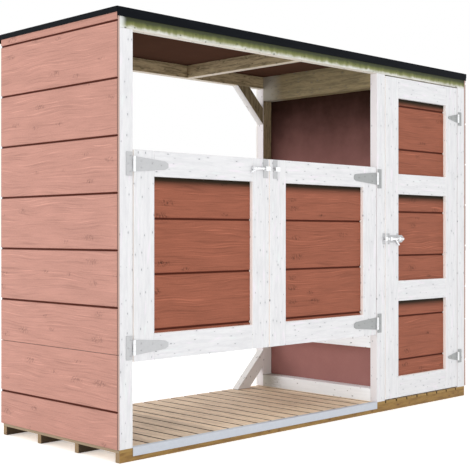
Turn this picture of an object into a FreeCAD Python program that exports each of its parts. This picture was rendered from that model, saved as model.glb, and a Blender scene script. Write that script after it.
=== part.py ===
import FreeCAD, Part
import math
import os
import re
import Sketcher

# Bin shed: an oblong timber shed with a flat roof.
# The bin bay on the left has a pair of half-height doors at the front and an open back.
# The tool compartment on the right has a full-height door and is closed all round.
#
# Frame: X runs along the front from left to right, the front faces -Y and Z is up.
# The origin is on the ground at the middle of the timber frame's footprint.
# Millimetres throughout.

doc = FreeCAD.newDocument("bin_shed")
sheet = doc.addObject("Spreadsheet::Sheet", "Sizes")

# ---------------------------------------------------------------- driving sizes

SIZES = [
    ("Shed", [
        ("shed_length", 2215, "over the side siding"),
        ("frame_depth", 752, "front of the front posts to back of the rear posts"),
        ("bin_bay_width", 1419, "clear width between the front posts"),
        ("post_height", 1493.5, "deck to underside of the headers"),
    ]),
    ("Floor", [
        ("joist_width", 24, ""),
        ("joist_height", 35, ""),
        ("deck_thickness", 11.5, ""),
        ("edge_angle_height", 31, "upright leg of the metal angle"),
        ("edge_angle_width", 22, "leg that lies on the deck"),
        ("edge_angle_metal", 2, "thickness"),
    ]),
    ("Frame", [
        ("post_width", 60, "front posts, along the shed"),
        ("post_depth", 38, "all posts, headers and braces, front to back"),
        ("rear_post_width", 49, "rear corner posts, along the shed"),
        ("partition_width", 60, "rear middle post and the partition's rails"),
        ("header_height", 58, ""),
        ("rafter_width", 38, ""),
        ("rafter_place", 976, "left end of the shed to the middle rafter"),
        ("top_rail_height", 120, "partition's top rail"),
        ("rail_height", 58, "side wall and partition rails"),
        ("rail_thickness", 38, "side and rear wall rails"),
        ("mid_rail_level", 291, "ground to underside of the middle rails"),
        ("upper_rail_level", 1000, "ground to underside of the upper wall rails"),
        ("brace_width", 58, "across the brace"),
        ("brace_reach", 180, "outer edge of a brace along post and header"),
    ]),
    ("Siding", [
        ("siding_thickness", 11, ""),
        ("siding_level", 49, "ground to the siding's lower edge"),
        ("siding_joint_level", 383.5, "ground to the joint between the sheets"),
        ("siding_joint_gap", 2, "between lower and upper sheet"),
        ("first_groove", 166, "joint to the upper sheet's first groove"),
        ("groove_pitch", 203, "between grooves"),
        ("groove_width", 12, "at the surface"),
        ("groove_floor", 4, "width of the groove's bottom"),
        ("groove_depth", 4.5, ""),
        ("panel_thickness", 9, "partition and door panels"),
    ]),
    ("Roof", [
        ("roof_deck_thickness", 12, ""),
        ("felt_thickness", 2, ""),
        ("trim_metal", 2, "thickness of the edge trims"),
        ("long_trim_height", 34, "front and rear trims"),
        ("end_trim_height", 21, "left and right trims"),
        ("trim_cover", 45, "leg that lies on the roof"),
        ("roof_front_overhang", 2, "deck beyond the front posts"),
        ("roof_rear_overhang", 14, "deck beyond the rear posts"),
        ("roof_end_overhang", 1, "deck beyond the side siding"),
        ("top_clearance", 2, "siding and panel tops below the roof deck"),
    ]),
    ("Doors", [
        ("door_gap", 5, "round every door"),
        ("door_thickness", 27, ""),
        ("panel_recess", 15, "panel face behind the frame's face"),
        ("bin_stile_width", 95.5, ""),
        ("tool_stile_width", 98, ""),
        ("door_rail_height", 93.5, "all rails but the lowest"),
        ("door_bottom_rail_height", 96, ""),
        ("bin_door_level", 352.5, "ground to the bin doors' lower edge"),
        ("bin_door_height", 760.5, ""),
        ("low_panel_height", 351.5, "tool door, lowest panel"),
        ("mid_panel_height", 403, "tool door, middle panel"),
        ("bin_panel_groove", 12, "panel's lower edge to its first groove"),
        ("low_panel_groove", 75, ""),
        ("mid_panel_groove", 118, ""),
        ("high_panel_groove", 116, ""),
    ]),
    ("Hinges", [
        ("leaf_metal", 2.5, "thickness of plates and straps"),
        ("pin_radius", 3, ""),
        ("pin_clearance", 0.05, "round the pin in a strap's knuckle"),
        ("knuckle_radius", 5.5, ""),
        ("knuckle_clearance", 0.5, "between knuckles, along the pin"),
        ("leaf_start", 6.5, "pin's axis to the flat of plate or strap"),
        ("plate_width", 34, "pin to the plate's far edge"),
        ("bin_strap_knuckle", 24, "height"),
        ("bin_plate_knuckle", 15, "height of each of two"),
        ("bin_plate_height", 86, ""),
        ("bin_strap_length", 164, "pin to tip"),
        ("bin_strap_root", 54, "height at the knuckle"),
        ("bin_strap_tip", 30, "height at the rounded end"),
        ("bin_hinge_inset", 52, "door's edge to the hinge's middle"),
        ("tool_plate_height", 66, ""),
        ("tool_strap_knuckle", 18, ""),
        ("tool_plate_knuckle", 11, ""),
        ("tool_strap_length", 80, ""),
        ("tool_strap_root", 40, ""),
        ("tool_strap_tip", 14, ""),
        ("tool_hinge_inset", 151, "door's edge to the hinge's middle"),
    ]),
    ("Latches", [
        ("bolt_radius", 6, ""),
        ("bolt_clearance", 0.6, "round the bolt in its guides"),
        ("bolt_gap", 1, "latch plate to the bolt"),
        ("bolt_set_back", 2.5, "door's edge to the withdrawn bolt's end"),
        ("guide_metal", 2, "thickness of guides, keeps and plate"),
        ("lever_radius", 4, ""),
        ("lever_length", 40, "from the bolt's axis"),
        ("bin_bolt_inset", 40, "door's upper edge to the bolt's axis"),
        ("bin_bolt_length", 100, ""),
        ("bin_lever_place", 72, "bolt's end to the lever"),
        ("bin_lever_angle", 25, "below the horizontal, in degrees"),
        ("bin_guide_height", 75, "over its two lugs"),
        ("bin_guide_width", 26, "along the bolt"),
        ("bin_guide_place", 8, "left door's edge to the guide"),
        ("bin_keep_place", 18, "right door's edge to the keep"),
        ("tool_bolt_level", 788, ""),
        ("tool_bolt_length", 121, ""),
        ("tool_lever_place", 60, "bolt's end to the lever"),
        ("tool_lever_angle", 46, "below the horizontal, in degrees"),
        ("tool_guide_height", 50, ""),
        ("tool_guide_width", 12, ""),
        ("tool_guide_place", 17, "door's edge to the first guide"),
        ("tool_guide_spacing", 66, "from guide to guide"),
        ("tool_keep_width", 18, ""),
        ("latch_plate_length", 125, ""),
        ("latch_plate_height", 34, ""),
        ("latch_plate_point", 20, "length of the plate's pointed end"),
        ("latch_plate_place", 15, "door's edge to the plate"),
    ]),
]

row = 1
WORDS = set()
for group, cells in SIZES:
    sheet.set("A%d" % row, group)
    row += 1
    for alias, value, note in cells:
        sheet.set("A%d" % row, alias)
        sheet.set("B%d" % row, str(value))
        sheet.set("C%d" % row, note)
        sheet.setAlias("B%d" % row, alias)
        WORDS.add(alias)
        row += 1
doc.recompute()

# Places that several pieces share, written from the sizes above.

PLACES = {
    "left_end": "-shed_length / 2",
    "right_end": "shed_length / 2",
    "front_face": "-frame_depth / 2",
    "rear_face": "frame_depth / 2",
    "rear_post_y": "rear_face - post_depth",
    # along the shed
    "left_post_x": "left_end + siding_thickness",
    "right_post_x": "right_end - siding_thickness - post_width",
    "bay_left": "left_post_x + post_width",
    "bay_right": "bay_left + bin_bay_width",
    "tool_bay_left": "bay_right + post_width",
    "rear_mid_x": "tool_bay_left - partition_width",
    "rear_right_x": "right_end - siding_thickness - rear_post_width",
    # upwards
    "deck_top": "joist_height + deck_thickness",
    "header_level": "deck_top + post_height",
    "roof_level": "header_level + header_height",
    "roof_stack": "roof_deck_thickness + felt_thickness",
    # doors
    "bin_door_width": "(bin_bay_width - 3 * door_gap) / 2",
    "left_door_x": "bay_left + door_gap",
    "right_door_x": "bay_right - door_gap - bin_door_width",
    "tool_door_x": "tool_bay_left + door_gap",
    "tool_door_width": "right_post_x - tool_bay_left - 2 * door_gap",
    "tool_door_level": "deck_top + door_gap",
    "tool_door_height": "post_height - 2 * door_gap",
    "panel_y": "front_face + panel_recess",
    # hinge pins and latch bolts
    "pin_y": "front_face - knuckle_radius",
    "left_pin_x": "bay_left + door_gap / 2",
    "right_pin_x": "bay_right - door_gap / 2",
    "tool_pin_x": "right_post_x - door_gap / 2",
    "bolt_stand_off": "(guide_metal + bolt_gap + bolt_radius)",
    "bolt_y": "front_face - bolt_stand_off",
    "bin_bolt_level": "bin_door_level + bin_door_height - bin_bolt_inset",
}


def bound(text):
    """Spell out the shared places and point each size's name at the sheet."""
    def spell(match):
        word = match.group(0)
        if word in PLACES:
            return "(" + bound(PLACES[word]) + ")"
        if word in WORDS:
            return "Sizes." + word
        return word
    return re.sub(r"[A-Za-z_]+", spell, str(text))


# ---------------------------------------------------------------- helpers

def bind(thing, **sizes):
    """Bind a document object's sizes to expressions."""
    for name, text in sizes.items():
        thing.setExpression(name, bound(text))
    return thing


def place(thing, x, y, z):
    """Bind a document object's place to expressions."""
    thing.setExpression("Placement.Base.x", bound(x))
    thing.setExpression("Placement.Base.y", bound(y))
    thing.setExpression("Placement.Base.z", bound(z))
    return thing


def box(name, x, y, z, length, width, height):
    """A timber, board or plate with its low corner at x, y, z."""
    thing = doc.addObject("Part::Box", name)
    bind(thing, Length=length, Width=width, Height=height)
    return place(thing, x, y, z)


def cylinder(name, x, y, z, radius, height, lean=None):
    """A round bar from x, y, z: upright, or turned about Y by lean degrees."""
    thing = doc.addObject("Part::Cylinder", name)
    bind(thing, Radius=radius, Height=height)
    if lean is not None:
        thing.Placement = FreeCAD.Placement(
            FreeCAD.Vector(0, 0, 0), FreeCAD.Rotation(FreeCAD.Vector(0, 1, 0), 45))
        thing.setExpression("Placement.Rotation.Angle", bound(lean))
    return place(thing, x, y, z)


def joined(name, things):
    """One solid made of overlapping pieces."""
    thing = doc.addObject("Part::MultiFuse", name)
    thing.Shapes = things
    return thing


def cut(name, base, tool):
    thing = doc.addObject("Part::Cut", name)
    thing.Base = base
    thing.Tool = tool
    return thing


def grouped(name, things):
    """Like pieces that don't touch, kept in one node."""
    thing = doc.addObject("Part::Compound", name)
    thing.Links = things
    return thing


def plane_of(body, role):
    return [f for f in body.Origin.OriginFeatures if f.Role == role][0]


def value_of(text):
    """An expression's value with the sizes as they stand."""
    return float(sheet.evalExpression(bound(text)))


def outline(body, name, role, points):
    """A closed sketch through points given as pairs of expressions."""
    sketch = body.newObject("Sketcher::SketchObject", name)
    sketch.AttachmentSupport = (plane_of(body, role), [""])
    sketch.MapMode = "FlatFace"
    spots = [FreeCAD.Vector(value_of(across), value_of(up), 0) for across, up in points]
    for start, end in zip(spots, spots[1:] + spots[:1]):
        sketch.addGeometry(Part.LineSegment(start, end), False)
    for i in range(len(spots)):
        sketch.addConstraint(Sketcher.Constraint("Coincident", i, 2, (i + 1) % len(spots), 1))
        for kind, text, value in (("DistanceX", points[i][0], spots[i].x),
                                  ("DistanceY", points[i][1], spots[i].y)):
            index = sketch.addConstraint(Sketcher.Constraint(kind, -1, 1, i, 1, value))
            sketch.setExpression("Constraints[%d]" % index, bound(text))
    return sketch


def padded(name, role, points, thickness, x, y, z, backwards=False):
    """A body made by padding one outline; its low corner is placed at x, y, z."""
    body = doc.addObject("PartDesign::Body", name)
    sketch = outline(body, name + "_outline", role, points)
    pad = body.newObject("PartDesign::Pad", name + "_pad")
    pad.Profile = sketch
    pad.Reversed = backwards
    bind(pad, Length=thickness)
    place(body, x, y, z)
    doc.recompute()
    return body


def rectangle(width, height):
    return [("0", "0"), (width, "0"), (width, height), ("0", height)]


# A sheet is drawn lying in the XZ plane with its face at Y = 0 and its back at +Y.
# Its grooves run along X; side walls are the same sheets turned about Z.

def grooved_sheet(name, width, height, thickness, first, x, y, z, turn=0):
    """A sheet with as many pressed grooves as it takes, the first at a height above its edge."""
    body = padded(name, "XZ_Plane", rectangle(width, height), thickness, x, y, z, True)
    low = "(%s)" % first
    count = 1 + math.floor(value_of(
        "(%s - %s - groove_width / 2) / groove_pitch" % (height, low)))
    if count > 0:
        groove = outline(body, name + "_groove", "YZ_Plane", [
            ("0", low + " - groove_width / 2"), ("groove_depth", low + " - groove_floor / 2"),
            ("groove_depth", low + " + groove_floor / 2"), ("0", low + " + groove_width / 2")])
        pocket = body.newObject("PartDesign::Pocket", name + "_pocket")
        pocket.Profile = groove
        pocket.Type = "Length"
        pocket.Reversed = True
        bind(pocket, Length=width)
        doc.recompute()
    if count > 1:
        pattern = body.newObject("PartDesign::LinearPattern", name + "_grooves")
        pattern.Originals = [pocket]
        pattern.Direction = (plane_of(body, "Z_Axis"), [""])
        pattern.Occurrences = count
        bind(pattern, Length="groove_pitch * %d" % (count - 1))
        body.Tip = pattern
        doc.recompute()
    if turn:
        body.Placement = FreeCAD.Placement(
            body.Placement.Base, FreeCAD.Rotation(FreeCAD.Vector(0, 0, 1), turn))
        place(body, x, y, z)
    return body


# ---------------------------------------------------------------- floor

NODES = []


def keep(name, thing):
    """Give a finished sub-part the label that names its file."""
    thing.Label = name
    NODES.append(thing)
    return thing


joists = [
    box("Joist%d" % i, "left_post_x",
        "front_face + (frame_depth - joist_width) * %d / 3" % i, "0",
        "shed_length - 2 * siding_thickness", "joist_width", "joist_height")
    for i in range(4)]
keep("floor_joists", grouped("FloorJoists", joists))

keep("floor_deck", box(
    "FloorDeck", "left_post_x", "front_face", "joist_height",
    "shed_length - 2 * siding_thickness", "frame_depth", "deck_thickness"))

angle_leg = box("AngleUpright", "bay_left", "front_face - edge_angle_metal",
                "deck_top + edge_angle_metal - edge_angle_height",
                "bin_bay_width", "edge_angle_metal", "edge_angle_height")
angle_top = box("AngleFlat", "bay_left", "front_face - edge_angle_metal", "deck_top",
                "bin_bay_width", "edge_angle_width", "edge_angle_metal")
keep("front_edge_angle", joined("FrontEdgeAngle", [angle_leg, angle_top]))

# ---------------------------------------------------------------- posts, headers, rails

keep("front_posts", grouped("FrontPosts", [
    box("FrontPost%d" % i, x, "front_face", "deck_top", "post_width", "post_depth", "post_height")
    for i, x in enumerate(("left_post_x", "bay_right", "right_post_x"))]))
keep("rear_posts", grouped("RearPosts", [
    box("RearPost%d" % i, x, "rear_post_y", "deck_top", width, "post_depth", "post_height")
    for i, (x, width) in enumerate((("left_post_x", "rear_post_width"),
                                    ("rear_mid_x", "partition_width"),
                                    ("rear_right_x", "rear_post_width")))]))

for side, y in (("front", "front_face"), ("rear", "rear_post_y")):
    keep(side + "_header", box(
        side.capitalize() + "Header", "left_post_x", y, "header_level",
        "shed_length - 2 * siding_thickness", "post_depth", "header_height"))

# Rafters span between the headers, under the roof deck.
between_headers = "(frame_depth - 2 * post_depth)"
behind_header = "(front_face + post_depth)"


def rafter(name, x, width, level):
    """A timber from front to rear whose top meets the roof deck."""
    return box(name, x, behind_header, level, width, between_headers,
               "roof_level - (%s)" % level)


tool_rafter_x = "(tool_bay_left + right_post_x - rafter_width) / 2"
keep("roof_rafters", grouped("RoofRafters", [
    rafter("BayRafter", "left_end + rafter_place", "rafter_width", "header_level"),
    rafter("ToolRafter", tool_rafter_x, "rafter_width", "header_level")]))

# Side walls: a top plate at the header's level and three rails between the posts.
upper_levels = ("deck_top", "mid_rail_level", "upper_rail_level")


def side_rails(name, x, width):
    rails = [box("%sRail%d" % (name, i), x, behind_header, level,
                 width, between_headers, "rail_height")
             for i, level in enumerate(upper_levels)]
    rails.append(rafter(name + "Plate", x, width, "header_level"))
    return rails


keep("left_wall_rails", grouped(
    "LeftWallRails", side_rails("LeftWall", "left_post_x", "rail_thickness")))
keep("right_wall_rails", grouped("RightWallRails", side_rails(
    "RightWall", "right_end - siding_thickness - rail_thickness", "rail_thickness")))

# The partition's frame is flush with the rear middle post, with its panel on the tool side.
partition = [box("PartitionRail%d" % i, "rear_mid_x", behind_header, level,
                 "partition_width", between_headers, "rail_height")
             for i, level in enumerate(upper_levels[:2])]
partition.append(rafter("PartitionTop", "rear_mid_x", "partition_width",
                        "roof_level - top_rail_height"))
keep("partition_rails", grouped("PartitionRails", partition))
keep("partition_panel", box(
    "PartitionPanel", "tool_bay_left", behind_header, "deck_top",
    "panel_thickness", between_headers, "roof_level - deck_top - top_clearance"))

rear_rail_width = "(rear_right_x - tool_bay_left)"
keep("rear_wall_rails", grouped("RearWallRails", [
    box("RearRail%d" % i, "tool_bay_left", "rear_post_y", level,
        rear_rail_width, "post_depth", "rail_height")
    for i, level in enumerate(upper_levels)]))

# Corner braces at the open back: a pair under the rear header and a pair on the deck.
brace_leg = "(brace_width * sqrt(2))"


def brace(name, left, upper):
    """A diagonal whose ends are cut to lie flat on the post and on the header or deck."""
    side = "(bay_brace_left)" if left else "(rear_mid_x)"
    far, near = "brace_reach", "(brace_reach - %s)" % brace_leg
    sign = "" if left else "-"
    up = "-" if upper else ""
    points = [("0", up + near), ("0", up + far), (sign + far, "0"), (sign + near, "0")]
    return padded(name, "XZ_Plane", points, "post_depth", side, "rear_post_y",
                  "header_level" if upper else "deck_top", True)


PLACES["bay_brace_left"] = "left_post_x + rear_post_width"
keep("rear_braces", grouped("RearBraces", [
    brace("BraceUpperLeft", True, True), brace("BraceUpperRight", False, True),
    brace("BraceLowerLeft", True, False), brace("BraceLowerRight", False, False)]))

# ---------------------------------------------------------------- siding

lower_height = "(siding_joint_level - siding_level - siding_joint_gap / 2)"
upper_level = "(siding_joint_level + siding_joint_gap / 2)"
lower_first = "(siding_joint_level - groove_pitch - siding_level)"
upper_first = "(first_groove - siding_joint_gap / 2)"


def wall_of_siding(name, width, x, y, turn=0):
    """Two grooved sheets, one above the other."""
    upper_height = "(roof_level - top_clearance - %s)" % upper_level
    return grouped(name, [
        grooved_sheet(name + "Lower", width, lower_height, "siding_thickness",
                      lower_first, x, y, "siding_level", turn),
        grooved_sheet(name + "Upper", width, upper_height, "siding_thickness",
                      upper_first, x, y, upper_level, turn)])


keep("left_siding", wall_of_siding(
    "LeftSiding", "frame_depth", "left_end", "rear_face", -90))
keep("right_siding", wall_of_siding(
    "RightSiding", "frame_depth", "right_end", "front_face", 90))
keep("rear_siding", wall_of_siding(
    "RearSiding", "right_end - rear_mid_x", "right_end", "rear_face + siding_thickness", 180))

# ---------------------------------------------------------------- roof

roof_start_y = "(front_face - roof_front_overhang)"
roof_depth = "(frame_depth + roof_front_overhang + roof_rear_overhang)"
roof_run = "(shed_length + 2 * roof_end_overhang)"


def roof_box(name, along, y, above, length, width, height):
    """A layer of the roof: along from its left end and above the deck's underside."""
    return box(name, "left_end - roof_end_overhang + (%s)" % along, y,
               "roof_level + (%s)" % above, length, width, height)


keep("roof_deck", roof_box(
    "RoofDeck", "0", roof_start_y, "0", roof_run, roof_depth, "roof_deck_thickness"))
keep("roof_felt", roof_box(
    "RoofFelt", "0", roof_start_y, "roof_deck_thickness", roof_run, roof_depth, "felt_thickness"))


def long_trim(name, front):
    """An edge angle along the front or the rear: a leg down and a leg over the felt."""
    down_y = "roof_start_y_ - trim_metal" if front else "roof_end_y_"
    over_y = down_y if front else "roof_end_y_ - trim_cover"
    return joined(name, [
        roof_box(name + "Down", "0", down_y, "roof_stack + trim_metal - long_trim_height",
                 roof_run, "trim_metal", "long_trim_height"),
        roof_box(name + "Over", "0", over_y, "roof_stack",
                 roof_run, "trim_cover + trim_metal", "trim_metal")])


PLACES["roof_start_y_"] = roof_start_y
PLACES["roof_end_y_"] = roof_start_y + " + " + roof_depth
keep("roof_long_trims", grouped("RoofLongTrims", [
    long_trim("FrontTrim", True), long_trim("RearTrim", False)]))


def end_trim(name, left):
    """An edge angle at one end; its top leg stops at the legs of the long trims."""
    down_at = "-trim_metal" if left else roof_run
    over_at = "0" if left else roof_run + " - trim_cover"
    down = roof_box(name + "Down", down_at, "roof_start_y_ - trim_metal",
                    "roof_stack + trim_metal - end_trim_height",
                    "trim_metal", roof_depth + " + 2 * trim_metal", "end_trim_height")
    over = roof_box(name + "Over", over_at if not left else "-trim_metal",
                    "roof_start_y_ + trim_cover", "roof_stack",
                    "trim_cover + trim_metal", roof_depth + " - 2 * trim_cover", "trim_metal")
    return joined(name, [down, over])


keep("roof_end_trims", grouped("RoofEndTrims", [
    end_trim("LeftTrim", True), end_trim("RightTrim", False)]))

# ---------------------------------------------------------------- doors


def door_frame(name, x, level, width, height, stile, rail_levels):
    """Two stiles, and the rails between them at their levels above the ground."""
    keep(name + "_stiles", grouped(name + "_Stiles", [
        box(name + "_StileLeft", x, "front_face", level, stile, "door_thickness", height),
        box(name + "_StileRight", "(%s) + (%s) - %s" % (x, width, stile), "front_face", level,
            stile, "door_thickness", height)]))
    keep(name + "_rails", grouped(name + "_Rails", [
        box("%s_Rail%d" % (name, i), "(%s) + %s" % (x, stile), "front_face", rail_level,
            "(%s) - 2 * %s" % (width, stile), "door_thickness", rail_height)
        for i, (rail_level, rail_height) in enumerate(rail_levels)]))


def bin_door(name, x):
    """A half-height door with one grooved panel."""
    low_panel = "bin_door_level + door_bottom_rail_height"
    top_rail = "bin_door_level + bin_door_height - door_rail_height"
    door_frame(name, x, "bin_door_level", "bin_door_width", "bin_door_height",
               "bin_stile_width", [("bin_door_level", "door_bottom_rail_height"),
                                   (top_rail, "door_rail_height")])
    keep(name + "_panel", grooved_sheet(
        name + "_Panel", "bin_door_width - 2 * bin_stile_width",
        "%s - (%s)" % (top_rail, low_panel), "panel_thickness", "bin_panel_groove",
        "%s + bin_stile_width" % x, "panel_y", low_panel))


bin_door("left_door", "left_door_x")
bin_door("right_door", "right_door_x")

# The tool door has three panels; the highest takes what the others leave.
PLACES["low_panel_level"] = "tool_door_level + door_bottom_rail_height"
PLACES["mid_panel_level"] = "low_panel_level + low_panel_height + door_rail_height"
PLACES["high_panel_level"] = "mid_panel_level + mid_panel_height + door_rail_height"
PLACES["tool_top_rail"] = "tool_door_level + tool_door_height - door_rail_height"
door_frame("tool_door", "tool_door_x", "tool_door_level", "tool_door_width", "tool_door_height",
           "tool_stile_width", [
               ("tool_door_level", "door_bottom_rail_height"),
               ("mid_panel_level - door_rail_height", "door_rail_height"),
               ("high_panel_level - door_rail_height", "door_rail_height"),
               ("tool_top_rail", "door_rail_height")])
keep("tool_door_panels", grouped("ToolDoorPanels", [
    grooved_sheet("ToolPanel%d" % i, "tool_door_width - 2 * tool_stile_width", height,
                  "panel_thickness", first, "tool_door_x + tool_stile_width",
                  "panel_y", level)
    for i, (level, height, first) in enumerate([
        ("low_panel_level", "low_panel_height", "low_panel_groove"),
        ("mid_panel_level", "mid_panel_height", "mid_panel_groove"),
        ("high_panel_level", "tool_top_rail - high_panel_level", "high_panel_groove")])]))

# ---------------------------------------------------------------- hinges

# Each T-hinge has an upright plate on the post and a tapered strap on the door. The plate's
# two knuckles hold the pin, and the strap's knuckle turns on it between them.


def knuckle(name, x, level, height):
    return cylinder(name, x, "pin_y", level, "knuckle_radius", height)


def leaf(name, x, towards, start, end, level, height):
    """A flat part of a hinge, from one distance to another beside the pin."""
    low = start if towards == "+" else end
    return box(name, "(%s) %s (%s)" % (x, towards, low), "front_face - leaf_metal", level,
               "(%s) - (%s)" % (end, start), "leaf_metal", height)


def hinge_plate(name, x, towards, middle, kind):
    """A post plate with its two knuckles and the pin."""
    inner, outer = kind + "_strap_knuckle", kind + "_plate_knuckle"
    above = "(%s) + %s / 2 + knuckle_clearance" % (middle, inner)
    below = "(%s) - %s / 2 - knuckle_clearance - %s" % (middle, inner, outer)
    tall = "%s_plate_height" % kind
    return joined(name, [
        leaf(name + "Flat", x, towards, "leaf_start", "plate_width",
             "(%s) - %s / 2" % (middle, tall), tall),
        leaf(name + "WebAbove", x, towards, "0", "leaf_start", above, outer),
        leaf(name + "WebBelow", x, towards, "0", "leaf_start", below, outer),
        knuckle(name + "KnuckleAbove", x, above, outer),
        knuckle(name + "KnuckleBelow", x, below, outer),
        cylinder(name + "Pin", x, "pin_y", below, "pin_radius",
                 "%s + 2 * %s + 2 * knuckle_clearance" % (inner, outer))])


def hinge_strap(name, x, towards, middle, kind):
    """A tapered door strap with its knuckle, bored for the pin."""
    sign = "" if towards == "+" else "-"
    root, tip, long = kind + "_strap_root", kind + "_strap_tip", kind + "_strap_length"
    shoulder = "(%s - %s / 2)" % (long, tip)
    flat = padded(name + "Flat", "XZ_Plane", [
        (sign + "leaf_start", "-%s / 2" % root), (sign + shoulder, "-%s / 2" % tip),
        (sign + long, "-%s / 4" % tip), (sign + long, "%s / 4" % tip),
        (sign + shoulder, "%s / 2" % tip), (sign + "leaf_start", "%s / 2" % root)],
        "leaf_metal", x, "front_face - leaf_metal", middle, True)
    inner = kind + "_strap_knuckle"
    level = "(%s) - %s / 2" % (middle, inner)
    solid = joined(name + "Solid", [
        flat, leaf(name + "Web", x, towards, "0", "leaf_start", level, inner),
        knuckle(name + "Knuckle", x, level, inner)])
    bore = cylinder(name + "Bore", x, "pin_y", level + " - 1",
                    "pin_radius + pin_clearance", inner + " + 2")
    return cut(name, solid, bore)


HINGES = [
    # door, pin's place, post's side, door's side, kind, lower edge, height
    ("left_door", "left_pin_x", "-", "+", "bin", "bin_door_level", "bin_door_height"),
    ("right_door", "right_pin_x", "+", "-", "bin", "bin_door_level", "bin_door_height"),
    ("tool_door", "tool_pin_x", "+", "-", "tool", "tool_door_level", "tool_door_height"),
]
for door, pin_x, post_side, door_side, kind, level, height in HINGES:
    inset = kind + "_hinge_inset"
    middles = ["%s + %s" % (level, inset), "%s + %s - %s" % (level, height, inset)]
    keep(door + "_hinge_plates", grouped(door + "_HingePlates", [
        hinge_plate("%s_Plate%d" % (door, i), pin_x, post_side, middle, kind)
        for i, middle in enumerate(middles)]))
    keep(door + "_hinge_straps", grouped(door + "_HingeStraps", [
        hinge_strap("%s_Strap%d" % (door, i), pin_x, door_side, middle, kind)
        for i, middle in enumerate(middles)]))

# ---------------------------------------------------------------- latches

# A guide or keep is a strip bent over the bolt, with a lug above and a lug below.
lug = "(bolt_radius + bolt_clearance)"
crown = "(bolt_stand_off + bolt_radius + bolt_clearance)"


def bent_strip(name, x, level, width, tall):
    return padded(name, "YZ_Plane", [
        ("0", "-%s / 2" % tall), ("-guide_metal", "-%s / 2" % tall),
        ("-guide_metal", "-%s - guide_metal" % lug),
        ("-%s - guide_metal" % crown, "-%s - guide_metal" % lug),
        ("-%s - guide_metal" % crown, "%s + guide_metal" % lug),
        ("-guide_metal", "%s + guide_metal" % lug),
        ("-guide_metal", "%s / 2" % tall), ("0", "%s / 2" % tall),
        ("0", lug), ("-" + crown, lug), ("-" + crown, "-" + lug), ("0", "-" + lug)],
        width, x, "front_face", level)


def latch_bolt(name, start, level, length, lever_x, lean):
    """A round bolt along X with a lever standing from it."""
    return joined(name, [
        cylinder(name + "Rod", start, "bolt_y", level, "bolt_radius", length, "90"),
        cylinder(name + "Lever", lever_x, "bolt_y", level, "lever_radius", "lever_length", lean)])


# The bin latch: its bolt is on the left door and shoots right into the keep.
left_edge = "(left_door_x + bin_door_width)"
keep("bin_latch_guide", bent_strip(
    "BinGuide", left_edge + " - bin_guide_place - bin_guide_width", "bin_bolt_level",
    "bin_guide_width", "bin_guide_height"))
keep("bin_latch_keep", bent_strip(
    "BinKeep", "right_door_x + bin_keep_place", "bin_bolt_level",
    "bin_guide_width", "bin_guide_height"))
bin_end = left_edge + " - bolt_set_back"
keep("bin_latch_bolt", latch_bolt(
    "BinBolt", bin_end + " - bin_bolt_length", "bin_bolt_level", "bin_bolt_length",
    bin_end + " - bin_lever_place", "-90 - bin_lever_angle"))

# The tool latch: its bolt is on the tool door and shoots left into the keep on the post.
plate_low = "-latch_plate_height / 2"
plate_high = "latch_plate_height / 2"
latch_plate = padded("ToolPlate", "XZ_Plane", [
    ("0", plate_low), ("latch_plate_length - latch_plate_point", plate_low),
    ("latch_plate_length", "-latch_plate_height / 8"),
    ("latch_plate_length", "latch_plate_height / 8"),
    ("latch_plate_length - latch_plate_point", plate_high), ("0", plate_high)],
    "guide_metal", "tool_door_x + latch_plate_place", "front_face - guide_metal",
    "tool_bolt_level", True)
keep("tool_latch_guides", joined("ToolLatchGuides", [latch_plate] + [
    bent_strip("ToolGuide%d" % i, "tool_door_x + tool_guide_place + tool_guide_spacing * %d" % i,
               "tool_bolt_level", "tool_guide_width", "tool_guide_height")
    for i in range(2)]))
keep("tool_latch_keep", bent_strip(
    "ToolKeep", "tool_bay_left - tool_keep_width", "tool_bolt_level",
    "tool_keep_width", "tool_guide_height"))
tool_end = "tool_door_x + bolt_set_back"
keep("tool_latch_bolt", latch_bolt(
    "ToolBolt", tool_end, "tool_bolt_level", "tool_bolt_length",
    tool_end + " + tool_lever_place", "90 + tool_lever_angle"))

# ---------------------------------------------------------------- check and write

doc.recompute()
for thing in doc.Objects:
    if "Invalid" in thing.State or "Error" in thing.State:
        raise RuntimeError("%s failed: %s" % (thing.Label, thing.State))
for thing in NODES:
    if thing.Shape.isNull() or not thing.Shape.isValid():
        raise RuntimeError("%s has no valid shape" % thing.Label)
    if not thing.Shape.Solids:
        raise RuntimeError("%s has no solid" % thing.Label)

os.makedirs("parts", exist_ok=True)
for thing in NODES:
    thing.Shape.exportStep(os.path.join("parts", thing.Label + ".step"))
    print("%-24s %2d solids %10.0f mm3" % (
        thing.Label, len(thing.Shape.Solids), thing.Shape.Volume))
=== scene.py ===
"""Bin shed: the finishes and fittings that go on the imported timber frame.

X runs along the front from left to right, the front faces -Y and Z is up. Sizes are in metres.
"""

import logging
import math
import random
from abc import ABC, abstractmethod
from dataclasses import dataclass, field
from enum import Enum
from typing import Any

import bmesh
import bpy
from mathutils import Matrix, Vector


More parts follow.
